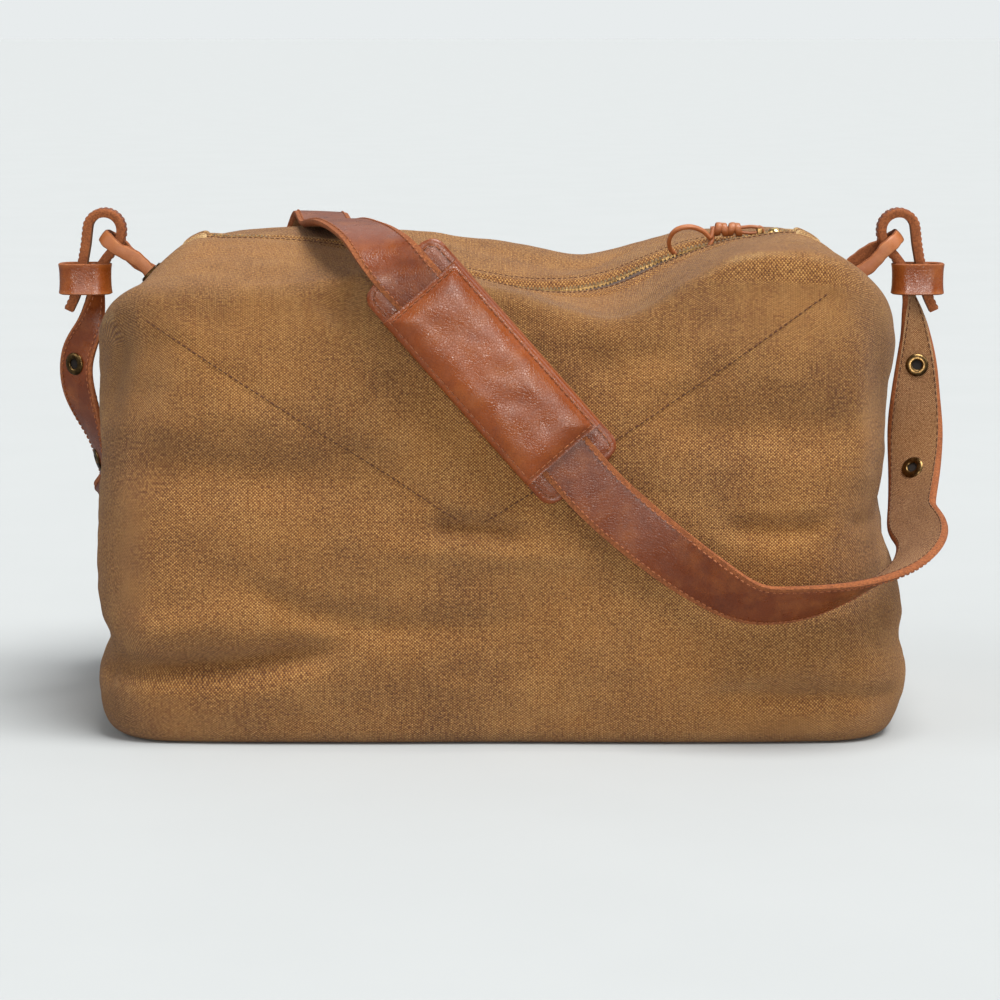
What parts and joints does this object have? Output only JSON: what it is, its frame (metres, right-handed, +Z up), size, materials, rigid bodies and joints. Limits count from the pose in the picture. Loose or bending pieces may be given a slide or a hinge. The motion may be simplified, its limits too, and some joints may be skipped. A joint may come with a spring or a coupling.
{
  "type": "duffel bag",
  "caption": "Soft canvas duffel bag with a zip top, leather rings and an adjustable leather shoulder strap with a sliding pad.",
  "frame": {"origin": "centre of the underside, where the bag rests on the floor", "axes": "+X towards the end where the closed zip's slider is, -Y the front with the shoulder pad, +Z up"},
  "size_m": [0.56, 0.3142, 0.3086],
  "materials": {
    "canvas": "waxed cotton canvas, matt",
    "lining": "plain cotton lining",
    "board": "plain stiffener sheet",
    "tape": "woven zip tape",
    "antique_brass": "dark antique brass",
    "bright_brass": "polished brass",
    "leather": "oiled leather, semi-gloss",
    "leather_raw": "raw cut leather thong",
    "webbing": "canvas strap backing",
    "foam": "felt padding"
  },
  "bodies": {
    "bag": {"front_panel": "canvas", "back_panel": "canvas", "end_panel_left": "canvas", "end_panel_right": "canvas", "base_panel": "canvas", "top_panel_front": "canvas", "top_panel_back": "canvas", "lining": "lining", "base_board": "board", "zip_tape_front": "tape", "zip_tape_back": "tape", "zip_teeth_front": "antique_brass", "zip_teeth_back": "antique_brass", "zip_stops": "antique_brass", "zip_end_tab_left": "canvas", "zip_end_tab_right": "canvas", "strap_leather": "leather", "strap_backing": "webbing", "ring_left": "leather_raw", "ring_right": "leather_raw", "ring_knots_left": "leather_raw", "ring_knots_right": "leather_raw", "ring_eyelets_left": "antique_brass", "ring_eyelets_right": "antique_brass"},
    "zip_slider": {"slider_body": "antique_brass", "slider_dome": "bright_brass"},
    "zip_pull": {"pull_thong": "leather_raw", "pull_knot": "leather_raw", "pull_loop": "leather_raw"},
    "shoulder_pad": {"pad_backing": "leather", "pad_top": "leather", "pad_foam": "foam"},
    "strap_end_left": {"strap_end_leather_left": "leather", "strap_end_backing_left": "webbing", "strap_eyelets_left": "antique_brass"},
    "keeper_left": {"keeper_left": "leather"},
    "strap_end_right": {"strap_end_leather_right": "leather", "strap_end_backing_right": "webbing", "strap_eyelets_right": "antique_brass"},
    "keeper_right": {"keeper_right": "leather"}
  },
  "joints": [
    {"name": "zip_slide", "type": "slide", "parent": "bag", "child": "zip_slider", "axis": [-1, 0, 0], "range_m": [0, 0.328]},
    {"name": "pull_swing", "type": "hinge", "parent": "zip_slider", "child": "zip_pull", "pos_m": [0.158, 0, 0.2956], "axis": [0, 1, 0], "range_deg": [0, 155]},
    {"name": "pad_slide", "type": "slide", "parent": "bag", "child": "shoulder_pad", "axis": [0.6599, 0, -0.7514], "range_m": [0, 0.012]},
    {"name": "strap_swing_right", "type": "hinge", "parent": "bag", "child": "strap_end_right", "pos_m": [0.243, 0, 0.294], "axis": [0, -1, 0], "range_deg": [0, 14]},
    {"name": "keeper_slide_right", "type": "slide", "parent": "strap_end_right", "child": "keeper_right", "axis": [0, 0, -1], "range_m": [0, 0.012]},
    {"name": "strap_swing_left", "type": "hinge", "parent": "bag", "child": "strap_end_left", "pos_m": [-0.243, 0, 0.294], "axis": [0, 1, 0], "range_deg": [0, 14]},
    {"name": "keeper_slide_left", "type": "slide", "parent": "strap_end_left", "child": "keeper_left", "axis": [0, 0, -1], "range_m": [0, 0.012]}
  ]
}
